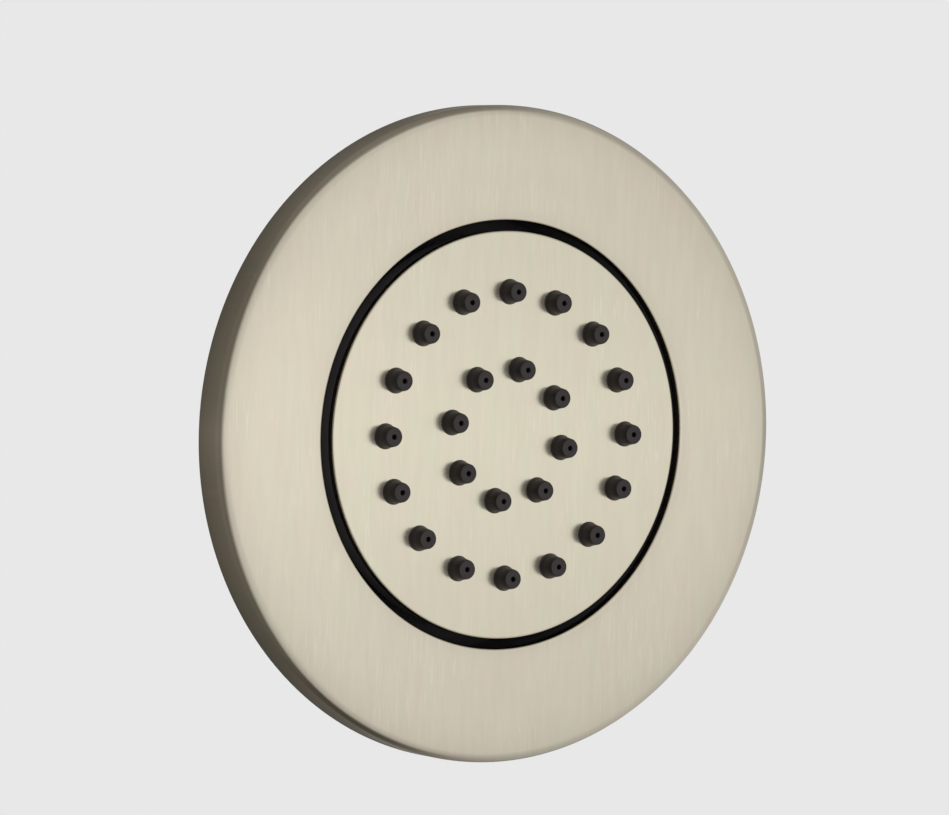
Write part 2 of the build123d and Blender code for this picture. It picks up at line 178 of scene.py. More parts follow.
def pick_corners(piece, places):
    """Selects the corners of a piece at these places, in edit mode."""
    bpy.ops.mesh.select_mode(type="VERT")
    bpy.ops.mesh.select_all(action="DESELECT")
    drawn = bmesh.from_edit_mesh(piece.data)
    for corner in drawn.verts:
        if any((corner.co - place).length < NEAR for place in places):
            corner.select_set(True)
    drawn.select_flush(True)
    bmesh.update_edit_mesh(piece.data)


def draw_section(name, outline, closed=True):
    """Draws a section from (radius, height, rounding) corners and leaves it in edit mode."""
    bpy.ops.object.select_all(action="DESELECT")
    bpy.ops.mesh.primitive_plane_add(size=MM)
    piece = bpy.context.object
    piece.name = name
    piece.data.name = name
    bpy.ops.object.mode_set(mode="EDIT")
    bpy.ops.mesh.select_mode(type="VERT")
    bpy.ops.mesh.select_all(action="SELECT")
    bpy.ops.mesh.merge(type="CENTER")
    places = [spot(radius, height) for radius, height, _ in outline]
    bpy.ops.mesh.select_all(action="SELECT")
    bpy.ops.transform.translate(value=places[0])
    for before, after in zip(places, places[1:]):
        bpy.ops.mesh.extrude_vertices_move(TRANSFORM_OT_translate={"value": after - before})
    if closed:
        pick_corners(piece, [places[0], places[-1]])
        bpy.ops.mesh.edge_face_add()
    for place, (_, _, rounding) in zip(places, outline):
        if rounding:
            pick_corners(piece, [place])
            cuts = next(count for limit, count in FACETS if rounding < limit)
            bpy.ops.mesh.bevel(offset=rounding * MM, segments=cuts, affect="VERTICES")
    return piece


def close_up(piece):
    """Merges doubled corners, points the faces outwards and leaves edit mode."""
    bpy.ops.mesh.select_all(action="SELECT")
    bpy.ops.mesh.remove_doubles(threshold=NEAR)
    bpy.ops.mesh.normals_make_consistent(inside=False)
    bpy.ops.object.mode_set(mode="OBJECT")
    return piece


def turned(name, outline, steps, closed=True):
    """Turns a section about the spray axis; one that starts and ends on the axis stays open."""
    piece = draw_section(name, outline, closed)
    bpy.ops.mesh.select_all(action="SELECT")
    bpy.ops.mesh.spin(steps=steps, angle=math.tau, center=(0, 0, 0), axis=(0, 1, 0))
    return close_up(piece)


def slab(name, outline, thickness, rounding):
    """Flat piece of even thickness that stands on the spray axis plane, with rounded edges."""
    piece = draw_section(name, outline)
    bpy.ops.mesh.select_all(action="SELECT")
    bpy.ops.mesh.edge_face_add()
    bpy.ops.transform.translate(value=(0, 0, -thickness / 2 * MM))
    bpy.ops.mesh.extrude_region_move(TRANSFORM_OT_translate={"value": (0, 0, thickness * MM)})
    bpy.ops.mesh.select_all(action="SELECT")
    bpy.ops.mesh.bevel(offset=rounding * MM, segments=3, affect="EDGES", clamp_overlap=True)
    return close_up(piece)


def copy_of(piece):
    """Copies a piece with a mesh of its own."""
    only(piece)
    bpy.ops.object.duplicate(linked=False)
    return bpy.context.object


def joined(pieces):
    """Makes one object of the pieces, with its place in its mesh."""
    only(*pieces)
    if len(pieces) > 1:
        bpy.ops.object.join()
    bpy.ops.object.transform_apply(location=True, rotation=True, scale=True)
    return bpy.context.object


def set_out(piece, places):
    """Copies a piece to each place and joins the copies."""
    copies = []
    for place in places:
        copies.append(copy_of(piece))
        bpy.ops.transform.translate(value=place)
    bpy.data.objects.remove(piece)
    return joined(copies)


def turned_round(piece, count):
    """Copies a piece evenly round the spray axis and joins the copies."""
    copies = []
    for step in range(count):
        copies.append(copy_of(piece))
        turn = math.radians(360 * step / count)
        bpy.ops.transform.rotate(value=turn, orient_axis="Y", center_override=(0, 0, 0))
    bpy.data.objects.remove(piece)
    return joined(copies)


def combined(piece, tool, operation):
    """Cuts, joins or keeps what two pieces share."""
    only(piece)
    bpy.ops.object.modifier_add(type="BOOLEAN")
    work = piece.modifiers[-1]
    work.operation = operation
    work.solver = "EXACT"
    work.object = tool
    bpy.ops.object.modifier_apply(modifier=work.name)
    bpy.data.objects.remove(tool)
    return piece


def smoothed(piece, angle=SMOOTH_ANGLE):
    """Smooth shading up to an angle, with flat faces kept flat."""
    only(piece)
    bpy.ops.object.shade_smooth_by_angle(angle=math.radians(angle))
    bpy.ops.object.modifier_add(type="WEIGHTED_NORMAL")
    weighting = piece.modifiers[-1]
    weighting.keep_sharp = True
    weighting.weight = 90
    bpy.ops.object.modifier_apply(modifier=weighting.name)
    return piece


# Pieces

def nozzle_places():
    """Both rings of nozzles, the inner one turned by half a step of the outer one."""
    inner_start = -180 / OUTER_COUNT
    return around(OUTER_RING_R, OUTER_COUNT) + around(INNER_RING_R, INNER_COUNT, inner_start)


def wall_screw_places():
    return around(WALL_SCREW_RING_R, WALL_SCREW_COUNT, 180 / WALL_SCREW_COUNT)


def make_cover_plate():
    plate = turned(
        "cover_plate_brushed",
        [
            (RIM_IN_R, 0, 0.2),
            (PLATE_R, 0, 0.25),
            (PLATE_R, PLATE_FRONT, PLATE_EDGE),
            (OPENING_R, PLATE_FRONT, OPENING_EDGE),
            (OPENING_R, PLATE_BACK, 0.25),
            (RIM_IN_R, PLATE_BACK, 1.0),
        ],
        steps=256,
    )
    return smoothed(plate)


def make_spray_disc():
    disc = turned(
        "spray_disc",
        [
            (0, FACE_FRONT, 0),
            (FACE_R, FACE_FRONT, FACE_EDGE),
            (FACE_R, FACE_BACK, 0.15),
            (0, FACE_BACK, 0),
        ],
        steps=224,
        closed=False,
    )
    boss = turned(
        "boss",
        [
            (BOSS_BORE_R, FACE_BACK + BOSS_SUNK, 0),
            (BOSS_R, FACE_BACK + BOSS_SUNK, 0),
            (BOSS_R, BOSS_END, 0.2),
            (BOSS_BORE_R, BOSS_END, 0.2),
        ],
        steps=36,
    )
    disc = combined(disc, set_out(boss, around(BOSS_RING_R, BOSS_COUNT)), "UNION")
    drill = turned(
        "drill",
        [
            (0, FACE_BACK - NOZZLE_DRILL_PAST, 0),
            (NOZZLE_HOLE_R, FACE_BACK - NOZZLE_DRILL_PAST, 0),
            (NOZZLE_HOLE_R, FACE_FRONT + NOZZLE_DRILL_PAST, 0),
            (0, FACE_FRONT + NOZZLE_DRILL_PAST, 0),
        ],
        steps=48,
        closed=False,
    )
    disc = combined(disc, set_out(drill, nozzle_places()), "DIFFERENCE")
    return smoothed(disc)


def make_nozzle_mat():
    mat = turned(
        "nozzle_mat_moulded",
        [(0, MAT_BACK, 0), (MAT_R, MAT_BACK, 0.2), (MAT_R, FACE_BACK, 0.2), (0, FACE_BACK, 0)],
        steps=160,
        closed=False,
    )
    nozzle = turned(
        "nozzle",
        [
            (0, FACE_BACK - NOZZLE_SUNK, 0),
            (NOZZLE_FOOT_R, FACE_BACK - NOZZLE_SUNK, 0),
            (NOZZLE_FOOT_R, FACE_FRONT + NOZZLE_LIP_OVER, 0),
            (NOZZLE_LIP_R, FACE_FRONT + NOZZLE_LIP_OVER, 0.03),
            (TIP_FOOT_R, TIP_FOOT, 0.35),
            (TIP_END_R, TIP_END, 0.28),
            (0, TIP_END, 0),
        ],
        steps=48,
        closed=False,
    )
    waterway = turned(
        "waterway",
        [
            (0, MAT_BACK - JET_INLET_PAST, 0),
            (JET_INLET_R, MAT_BACK - JET_INLET_PAST, 0),
            (JET_R, JET_START, 0.3),
            (JET_R, TIP_END - JET_FLARE_START, 0),
            (JET_R + JET_FLARE, TIP_END + JET_FLARE_PAST, 0),
            (0, TIP_END + JET_FLARE_PAST, 0),
        ],
        steps=32,
        closed=False,
    )
    places = nozzle_places()
    mat = combined(mat, set_out(nozzle, places), "UNION")
    mat = combined(mat, set_out(waterway, places), "DIFFERENCE")
    return smoothed(mat)


def screw_drill():
    """Drill and countersink for one wall screw, on the axis."""
    sink = WALL_SCREW_HEAD_R - WALL_SCREW_R
    return turned(
        "screw_drill",
        [
            (0, -WALL_DRILL_PAST, 0),
            (WALL_SCREW_R, -WALL_DRILL_PAST, 0),
            (WALL_SCREW_R, FLANGE_TOP - sink, 0),
            (WALL_SCREW_HEAD_R + WALL_DRILL_PAST, FLANGE_TOP + WALL_DRILL_PAST, 0),
            (0, FLANGE_TOP + WALL_DRILL_PAST, 0),
        ],
        steps=48,
        closed=False,
    )


def make_wall_cup():
    cup = turned(
        "wall_cup",
        [
            (CUP_HOLE_R, CUP_FLOOR, 0.3),
            (CUP_FLOOR_R, CUP_FLOOR, 2.0),
            (CUP_R, CUP_STRAIGHT, 3.0),
            (CUP_R, COLLAR_FRONT, 0.3),
            (CUP_OUT_R, COLLAR_FRONT, 0.3),
            (CUP_OUT_R, FLANGE_TOP, 0.2),
            (FLANGE_R, FLANGE_TOP, 0.25),
            (FLANGE_R, GROOVE_HIGH, 0.1),
            (GROOVE_R, GROOVE_HIGH, 0),
            (GROOVE_R, GROOVE_LOW, 0),
            (FLANGE_R, GROOVE_LOW, 0.1),
            (FLANGE_R, GASKET_T, 0.25),
            (CUP_OUT_R, GASKET_T, 0),
            (CUP_OUT_R, CUP_STRAIGHT, 3.2),
            (CUP_REAR_R, CUP_REAR, 3.0),
            (CUP_HOLE_R, CUP_REAR, 0.3),
        ],
        steps=192,
    )
    rib = slab(
        "rib",
        [
            (CUP_R + RIB_SUNK, CUP_STRAIGHT, 0),
            (CUP_OUT_R - RIB_STEP, CUP_STRAIGHT, 0),
            (CUP_OUT_R - RIB_STEP, CUP_STRAIGHT - RIB_LENGTH, 0),
            (CUP_FLOOR_R + RIB_SUNK, (CUP_FLOOR + CUP_REAR) / 2, 0),
        ],
        RIB_T,
        RIB_EDGE,
    )
    cup = combined(cup, turned_round(rib, RIB_COUNT), "UNION")
    drills = set_out(screw_drill(), wall_screw_places())
    return smoothed(combined(cup, drills, "DIFFERENCE"))


def make_foam_gasket():
    gasket = turned(
        "foam_gasket",
        [
            (CUP_OUT_R, 0, 0.25),
            (GROOVE_R, 0, 0.25),
            (GROOVE_R, GASKET_T, 0.25),
            (CUP_OUT_R, GASKET_T, 0.25),
        ],
        steps=160,
    )
    punch = turned(
        "punch",
        [
            (0, -WALL_DRILL_PAST, 0),
            (WALL_SCREW_R, -WALL_DRILL_PAST, 0),
            (WALL_SCREW_R, GASKET_T + WALL_DRILL_PAST, 0),
            (0, GASKET_T + WALL_DRILL_PAST, 0),
        ],
        steps=40,
        closed=False,
    )
    return smoothed(combined(gasket, set_out(punch, wall_screw_places()), "DIFFERENCE"))


def cut_thread(piece):
    """Cuts a right-handed pipe thread with round crests and roots into the inlet's plain end."""
    depth = INLET_CREST_R - INLET_ROOT_R
    work = bmesh.new()
    work.from_mesh(piece.data)
    for corner in work.verts:
        height = -corner.co.y / MM
        radius = math.hypot(corner.co.x, corner.co.z) / MM
        if abs(radius - INLET_CREST_R) > THREAD_NEAR or height > LOCK_NUT_REAR + THREAD_NEAR:
            continue
        turn = math.atan2(corner.co.z, corner.co.x)
        tooth = 0.5 - 0.5 * math.cos(math.tau * height / THREAD_PITCH - turn)
        run_out = min(1.0, (LOCK_NUT_REAR - height) / THREAD_RUN_OUT)
        chamfer = INLET_ROOT_R - INLET_LEAD + height - INLET_REAR
        cut = min(INLET_ROOT_R + depth * tooth * run_out, chamfer)
        corner.co.x *= cut / radius
        corner.co.z *= cut / radius
    work.to_mesh(piece.data)
    work.free()


def make_inlet():
    length = LOCK_NUT_REAR - INLET_REAR
    rings = math.ceil(length / THREAD_PITCH * THREAD_RINGS)
    plain_end = [
        (INLET_CREST_R, LOCK_NUT_REAR - length * step / rings, 0) for step in range(rings + 1)
    ]
    inlet = turned(
        "inlet_threaded",
        [
            (WATERWAY_R, SPIGOT_BORE_END, 0),
            (SPIGOT_BORE_R, SPIGOT_BORE_END, 0),
            (SPIGOT_BORE_R, SEAL_BORE_END, 0),
            (SEAL_BORE_R, SEAL_BORE_END, 0),
            (SEAL_BORE_R, FLANGE_FRONT, 0.2),
            (INLET_FLANGE_R, FLANGE_FRONT, 0.3),
            (INLET_FLANGE_R, FLANGE_REAR, 0.3),
            (CLAMP_R, FLANGE_REAR, 0),
            (CLAMP_R, LOCK_NUT_REAR, 0.4),
            *plain_end,
            (INLET_BORE_R, INLET_REAR, 0.2),
            (INLET_BORE_R, INLET_BORE_END, 0),
            (WATERWAY_R, INLET_BORE_END, 0),
        ],
        steps=96,
    )
    bpy.ops.mesh.primitive_cube_add(size=MM, location=spot(0, FLANGE_REAR))
    spanner = bpy.context.object
    spanner.scale = (SPANNER_W, SPANNER_W, INLET_FLATS)
    inlet = combined(inlet, joined([spanner]), "INTERSECT")
    cut_thread(inlet)
    return smoothed(inlet, SMOOTH_THREAD)


def make_lock_nut():
    corner_r = LOCK_NUT_FLATS / 2 / math.cos(math.pi / 6)
    bpy.ops.object.select_all(action="DESELECT")
    bpy.ops.mesh.primitive_cylinder_add(
        vertices=6,
        radius=corner_r * MM,
        depth=(CUP_REAR - LOCK_NUT_REAR) * MM,
        location=spot(0, (CUP_REAR + LOCK_NUT_REAR) / 2),
        rotation=(math.pi / 2, math.pi / 6, 0),
    )
    nut = bpy.context.object
    nut.name = "lock_nut_turned"
    nut.data.name = nut.name
    joined([nut])
    rise = LOCK_NUT_CORNER * math.tan(math.pi / 6)
    outside = corner_r + 0.1
    blank = turned(
        "nut_blank",
        [
            (LOCK_NUT_BORE_R, LOCK_NUT_REAR + LOCK_NUT_LEAD, 0),
            (LOCK_NUT_BORE_R + LOCK_NUT_LEAD, LOCK_NUT_REAR - LOCK_NUT_PAST, 0),
            (corner_r - LOCK_NUT_CORNER, LOCK_NUT_REAR, 0.3),
            (outside, LOCK_NUT_REAR + rise, 0),
            (outside, CUP_REAR - rise, 0),
            (corner_r - LOCK_NUT_CORNER, CUP_REAR, 0.3),
            (LOCK_NUT_BORE_R + LOCK_NUT_LEAD, CUP_REAR + LOCK_NUT_PAST, 0),
            (LOCK_NUT_BORE_R, CUP_REAR - LOCK_NUT_LEAD, 0),
        ],
        steps=120,
    )
    return smoothed(combined(nut, blank, "INTERSECT"), SMOOTH_HEXAGON)


# Finishes: small tools for their nodes

def feed(tree, node, inputs):
    """Gives a node its inputs; each is a value or another node's socket."""
    for name, value in inputs.items():
        if isinstance(value, bpy.types.NodeSocket):
            tree.links.new(value, node.inputs[name])
        else:
            node.inputs[name].default_value = value


def put(tree, kind, inputs=None, **settings):
    """Adds a node with its settings and inputs."""
    node = tree.nodes.new(kind)
    for name, value in settings.items():
        setattr(node, name, value)
    feed(tree, node, inputs or {})
    return node


def sums(tree, operation, first, second=0.0, clamp=False):
    """Arithmetic on values or sockets."""
    return put(
        tree, "ShaderNodeMath", {0: first, 1: second}, operation=operation, use_clamp=clamp
    ).outputs[0]


def parts_of(tree, place):
    """A place's X, Y and Z."""
    return put(tree, "ShaderNodeSeparateXYZ", {0: place}).outputs


def length_of(tree, place):
    return put(tree, "ShaderNodeVectorMath", {0: place}, operation="LENGTH").outputs["Value"]


def axis_radius(tree, parts):
    """Distance from the spray axis."""
    flat = put(tree, "ShaderNodeCombineXYZ", {0: parts["X"], 1: parts["Z"]}).outputs[0]
    return length_of(tree, flat)


def noise(tree, place, scale, detail, rough=0.5):
    return put(
        tree,
        "ShaderNodeTexNoise",
        {"Vector": place, "Scale": scale, "Detail": detail, "Roughness": rough},
    ).outputs[0]


def between(tree, share, low, high):
    """Value between two values."""
    return put(tree, "ShaderNodeMix", {0: share, 2: low, 3: high}, data_type="FLOAT").outputs[0]


def blend(tree, share, low, high):
    """Colour between two plain colours."""
    colours = {0: share, 6: (*low, 1.0), 7: (*high, 1.0)}
    return put(tree, "ShaderNodeMix", colours, data_type="RGBA").outputs[2]


def dimmed(tree, colour, shade):
    """Colour times another colour."""
    colours = {0: 1.0, 6: colour, 7: shade}
    return put(
        tree, "ShaderNodeMix", colours, data_type="RGBA", blend_type="MULTIPLY"
    ).outputs[2]


def spread(tree, value, low, high, from_low=0.3, from_high=0.7):
    """Maps a value to a range; most noise lies between 0.3 and 0.7."""
    return put(
        tree,
        "ShaderNodeMapRange",
        {
            "Value": value,
            "From Min": from_low,
            "From Max": from_high,
            "To Min": low,
            "To Max": high,
        },
    ).outputs[0]


def graded(tree, value, stops, unit):
    """Level that follows a value through (place, level) stops, the places counted in a unit."""
    low, high = stops[0][0], stops[-1][0]
    share = spread(tree, value, 0.0, 1.0, low * unit, high * unit)
    ramp = put(tree, "ShaderNodeValToRGB", {0: share})
    marks = ramp.color_ramp.elements
    for index, (place, level) in enumerate(stops):
        share_of_way = (place - low) / (high - low)
        mark = marks[index] if index < 2 else marks.new(share_of_way)
        mark.position = share_of_way
        mark.color = (level, level, level, 1.0)
    return ramp.outputs[0]


def relief(tree, height, depth, strength):
    """Surface relief of a depth in millimetres."""
    return put(
        tree, "ShaderNodeBump", {"Height": height, "Distance": depth * MM, "Strength": strength}
    ).outputs[0]


# Effects that several finishes share

def effect(name, inputs, outputs):
    """Empty node group with named inputs and outputs."""
    tree = bpy.data.node_groups.new(name, "ShaderNodeTree")
    tree.interface.new_socket(name="Vector", in_out="INPUT", socket_type="NodeSocketVector")
    for label, value in inputs.items():
        socket = tree.interface.new_socket(
            name=label, in_out="INPUT", socket_type="NodeSocketFloat"
        )
        socket.default_value = value
    for label in outputs:
        tree.interface.new_socket(name=label, in_out="OUTPUT", socket_type="NodeSocketFloat")
    given = tree.nodes.new("NodeGroupInput").outputs
    return tree, given, tree.nodes.new("NodeGroupOutput")


def brush_lines_effect():
    """Fine straight scratches: x runs across them, z along them."""
    # Width and length of each layer, as multiples of those given, and its own place in the noise
    layers = {
        "Lines": (1.0, 1.0, 0.0),
        "Streaks": (1.7, 1.1, 13.9),
        "Drift": (6.0, 2.0, 31.7),
        "Tint": (18.0, 2.0, 57.3),
    }
    tree, given, out = effect("brush_lines", {"Width": 0.3, "Length": 8.0}, layers)
    parts = parts_of(tree, given["Vector"])
    for label, (wide, long, seed) in layers.items():
        width = sums(tree, "MULTIPLY", given["Width"], wide * MM)
        length = sums(tree, "MULTIPLY", given["Length"], long * MM)
        across = sums(tree, "DIVIDE", parts["X"], width)
        along = sums(tree, "DIVIDE", parts["Z"], length)
        place = put(tree, "ShaderNodeCombineXYZ", {0: across, 1: along, 2: seed}).outputs[0]
        feed(tree, out, {label: noise(tree, place, 1.0, 2.0, 0.6)})
    return tree


def turned_lines_effect():
    """Fine rings left by turning: they run round the spray axis on flat and round faces."""
    tree, given, out = effect("turned_lines", {"Pitch": 0.15}, ["Lines"])
    parts = parts_of(tree, given["Vector"])
    pitch = sums(tree, "MULTIPLY", given["Pitch"], MM)
    outward = sums(tree, "DIVIDE", axis_radius(tree, parts), pitch)
    forward = sums(tree, "DIVIDE", parts["Y"], pitch)
    turn = sums(tree, "ARCTAN2", parts["Z"], parts["X"])
    slow_turn = sums(tree, "MULTIPLY", turn, 1.5)
    place = put(tree, "ShaderNodeCombineXYZ", {0: outward, 1: forward, 2: slow_turn}).outputs[0]
    feed(tree, out, {"Lines": noise(tree, place, 1.0, 1.0)})
    return tree


def moulded_grain_effect():
    """Fine eroded grain of a mould, with slow changes of tone."""
    tree, given, out = effect("moulded_grain", {"Size": 0.25}, ["Grain", "Cloud"])
    scale = sums(tree, "DIVIDE", 1 / MM, given["Size"])
    cloud_scale = sums(tree, "MULTIPLY", scale, 0.02)
    feed(tree, out, {
        "Grain": noise(tree, given["Vector"], scale, 3.0, 0.55),
        "Cloud": noise(tree, given["Vector"], cloud_scale, 2.0),
    })
    return tree


BRUSH_LINES = brush_lines_effect()
TURNED_LINES = turned_lines_effect()
MOULDED_GRAIN = moulded_grain_effect()


def use(tree, group, **inputs):
    """Places a shared effect in a finish."""
    return put(tree, "ShaderNodeGroup", inputs, node_tree=group).outputs


# The finishes

def bare_finish(name):
    """Empty material and its nodes."""
    finish = bpy.data.materials.new(name)
    finish.use_nodes = True
    finish.node_tree.nodes.clear()
    return finish, finish.node_tree


def new_finish(name):
    """Material with a Principled shader, and the coordinates of its object."""
    finish, tree = bare_finish(name)
    shader = put(tree, "ShaderNodeBsdfPrincipled")
    put(tree, "ShaderNodeOutputMaterial", {"Surface": shader.outputs[0]})
    return finish, tree, shader, put(tree, "ShaderNodeTexCoord").outputs


BRUSH_WIDTH = 0.26
BRUSH_LENGTH = 6.0
EDGE_PITCH = 0.16
NICKEL_CLOUD = 0.25
NICKEL_COOL = (0.985, 1.005, 0.985)
NICKEL_WARM = (1.01, 0.98, 0.985)
NICKEL_ANISOTROPY = 0.63
METAL_CLOUD = 0.12
FOAM_CELL = 0.5
FOAM_FINE_CELL = 0.22


def brushed_nickel(name, dark, light, outward=None, forward=None):
    """Nickel with upright brushing on its flat faces and turned lines on its edges.

    Painted shade and light can darken or lighten its colour by the radius and by the height in
    front of the wall, through (place, share) stops.
    """
    finish, tree, shader, coordinates = new_finish(name)
    place = coordinates["Object"]
    brush = use(tree, BRUSH_LINES, Vector=place, Width=BRUSH_WIDTH, Length=BRUSH_LENGTH)
    edge = use(tree, TURNED_LINES, Vector=place, Pitch=EDGE_PITCH)
    cloud = use(tree, MOULDED_GRAIN, Vector=place, Size=NICKEL_CLOUD)["Cloud"]
    facing = sums(tree, "ABSOLUTE", parts_of(tree, coordinates["Normal"])["Y"])
    flat = spread(tree, facing, 0.0, 1.0, 0.75, 0.95)
    lines = between(tree, flat, edge["Lines"], brush["Lines"])

    patches = spread(tree, cloud, 0.0, 1.0, 0.45, 0.6)
    bright = spread(tree, brush["Streaks"], 0.0, 0.5, 0.54, 0.68)
    streaks = sums(tree, "MULTIPLY", bright, patches)
    drift = spread(tree, brush["Drift"], 0.03, 0.34)
    fine = sums(tree, "ADD", spread(tree, lines, 0.03, 0.18), drift)
    tone = sums(tree, "ADD", fine, streaks, clamp=True)
    warmth = spread(tree, brush["Tint"], 0.0, 1.0, 0.35, 0.65)
    tint = blend(tree, warmth, NICKEL_COOL, NICKEL_WARM)
    colour = dimmed(tree, blend(tree, tone, dark, light), tint)
    parts = parts_of(tree, place)
    # Painted shade and light: the colour is darkened or lightened by the radius and by the height
    # in front of the wall.
    if outward:
        colour = dimmed(tree, colour, graded(tree, axis_radius(tree, parts), outward, MM))
    if forward:
        colour = dimmed(tree, colour, graded(tree, parts["Y"], forward, -MM))

    face_rough = spread(tree, lines, 0.20, 0.23)
    edge_rough = spread(tree, lines, 0.19, 0.23)
    feed(tree, shader, {
        "Base Color": colour,
        "Metallic": 1.0,
        "Anisotropic": NICKEL_ANISOTROPY,
        "Roughness": between(tree, flat, edge_rough, face_rough),
        "Normal": relief(tree, lines, 0.002, 0.4),
    })
    return finish


def moulded(name, dark, light, size, rough, depth, shine=0.5, gloss=(1.0, 1.0, 1.0)):
    """Moulded plastic, rubber or silicone with a fine grain."""
    finish, tree, shader, coordinates = new_finish(name)
    grain = use(tree, MOULDED_GRAIN, Vector=coordinates["Object"], Size=size)
    feed(tree, shader, {
        "Base Color": blend(tree, spread(tree, grain["Cloud"], 0.0, 1.0), dark, light),
        "Roughness": spread(tree, grain["Grain"], *rough),
        "Normal": relief(tree, grain["Grain"], depth, 0.6),
        "Specular IOR Level": shine,
        "Specular Tint": (*gloss, 1.0),
    })
    return finish


def turned_metal(name, dark, light, pitch, rough, depth, bare=1.0):
    """Turned metal with fine rings; bare is 1 where no dull skin covers it."""
    finish, tree, shader, coordinates = new_finish(name)
    lines = use(tree, TURNED_LINES, Vector=coordinates["Object"], Pitch=pitch)["Lines"]
    cloud = use(tree, MOULDED_GRAIN, Vector=coordinates["Object"], Size=METAL_CLOUD)["Cloud"]
    tone = spread(tree, between(tree, 0.5, lines, cloud), 0.0, 1.0)
    feed(tree, shader, {
        "Base Color": blend(tree, tone, dark, light),
        "Metallic": bare,
        "Roughness": spread(tree, lines, *rough),
        "Normal": relief(tree, lines, depth, 0.5),
    })
    return finish


def foam(name, dark, light):
    """Closed-cell foam: small round cells of two sizes."""
    finish, tree, shader, coordinates = new_finish(name)
    large, small = (
        put(
            tree,
            "ShaderNodeTexVoronoi",
            {"Vector": coordinates["Object"], "Scale": 1 / (size * MM)},
        ).outputs["Distance"]
        for size in (FOAM_CELL, FOAM_FINE_CELL)
    )
    pores = sums(tree, "MULTIPLY", large, small)
    feed(tree, shader, {
        "Base Color": blend(tree, spread(tree, pores, 0.0, 1.0, 0.02, 0.3), dark, light),
        "Roughness": 0.9,
        "Normal": relief(tree, pores, 0.25, 0.8),
    })
    return finish


# Dark and light tone, grain size, roughness and grain depth; for the silicone also the level and
# the tint of its gloss
MOULDED = {
    "black_silicone": (
        (0.0045, 0.0034, 0.0038), (0.0065, 0.005, 0.0055), 0.12, (0.40, 0.50), 0.006,
        0.58, (1.0, 0.9, 0.92),
    ),
    "black_plastic": ((0.054, 0.050, 0.051), (0.068, 0.063, 0.064), 0.22, (0.38, 0.52), 0.012),
    "black_rubber": ((0.010, 0.010, 0.010), (0.018, 0.018, 0.018), 0.10, (0.5, 0.65), 0.006),
    "white_plastic": ((0.76, 0.75, 0.71), (0.82, 0.81, 0.77), 0.18, (0.3, 0.42), 0.006),
    "green_plastic": ((0.03, 0.26, 0.10), (0.05, 0.33, 0.14), 0.18, (0.3, 0.42), 0.006),
}
# Dark and light tone, pitch of the rings, roughness, depth of the rings; for brass also how bare
# it is
TURNED = {
    "bare_brass": ((0.70, 0.51, 0.24), (0.82, 0.62, 0.33), 0.14, (0.26, 0.36), 0.002, 0.78),
    "chromed_brass": ((0.60, 0.61, 0.62), (0.68, 0.69, 0.70), 0.2, (0.05, 0.10), 0.001),
    "stainless": ((0.50, 0.49, 0.47), (0.62, 0.61, 0.59), 0.12, (0.24, 0.36), 0.003),
}
FINISHES = {name: moulded(name, *values) for name, values in MOULDED.items()}
FINISHES |= {name: turned_metal(name, *values) for name, values in TURNED.items()}
FINISHES["grey_foam"] = foam("grey_foam", (0.10, 0.10, 0.105), (0.21, 0.21, 0.215))

# Painted shade and light: the plate is painted darker towards its opening and outer edges, and
# its rim darker towards the wall and lighter towards the front: (millimetres, share)
PLATE_EDGE_PAINTED_SHADE = [
    (38, 0.92), (39.8, 0.94), (41, 0.98), (43, 1.0), (51, 1.0),
    (54.5, 0.975), (56.5, 0.945), (58, 0.91), (60, 0.91),
]
PLATE_RIM_PAINTED_SHADE_AND_LIGHT = [(0, 0.78), (2.5, 0.95), (5.5, 1.1), (7.2, 1.05), (7.7, 1.0)]
PLATE_NICKEL = brushed_nickel(
    "plate_nickel", (0.630, 0.592, 0.490), (0.705, 0.663, 0.553), PLATE_EDGE_PAINTED_SHADE, PLATE_RIM_PAINTED_SHADE_AND_LIGHT
)
DISC_NICKEL = brushed_nickel("disc_nickel", (0.635, 0.606, 0.493), (0.710, 0.677, 0.557))


def fit(piece, finish, body, slot, *nodes):
    """Gives a piece its finish and sets it on its body in place of its solids."""
    piece.data.materials.clear()
    piece.data.materials.append(finish)
    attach(piece, body)
    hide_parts(*nodes)


fit(make_cover_plate(), PLATE_NICKEL, "wall_set", "brushed_nickel", "cover_plate")
fit(make_spray_disc(), DISC_NICKEL, "spray_head", "brushed_nickel", "face_disc")
fit(make_nozzle_mat(), FINISHES["black_silicone"], "spray_head", "black_silicone", "nozzle_mat")
fit(make_wall_cup(), FINISHES["black_plastic"], "wall_set", "black_plastic", "recess_cup")
gasket = make_foam_gasket()
fit(gasket, FINISHES["grey_foam"], "wall_set", "grey_foam", "wall_gasket")
fit(make_inlet(), FINISHES["bare_brass"], "wall_set", "bare_brass", "inlet_nipple")
fit(make_lock_nut(), FINISHES["bare_brass"], "wall_set", "bare_brass", "lock_nut")

# Solids that keep their CAD shape
KEPT_SOLIDS = {
    "chamber_back": "black_plastic",
    "chamber_screws": "stainless",
    "swivel_ball": "chromed_brass",
    "swivel_nut": "chromed_brass",
    "ball_seat": "white_plastic",
    "friction_ring": "white_plastic",
    "seat_ring": "black_rubber",
    "ball_ring": "black_rubber",
    "flange_ring": "black_rubber",
    "inlet_washer": "black_rubber",
    "flow_regulator": "green_plastic",
    "regulator_ring": "black_rubber",
    "inlet_strainer": "stainless",
}
for name, finish in KEPT_SOLIDS.items():
    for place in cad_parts[name].material_slots:
        place.material = FINISHES[finish]


# Studio: pale surroundings, soft lights, a graded tent for the reflections, a floor far below.
# Its sizes are in metres. Azimuth 0 is in front of the object, positive to its right.

BACKGROUND = 0.807
DAYLIGHT = 0.55
FLOOR_R = 1.7
FLOOR_Z = -0.85
FLOOR_TONE = 0.8
FLOOR_FADE = (0.7, 1.65)

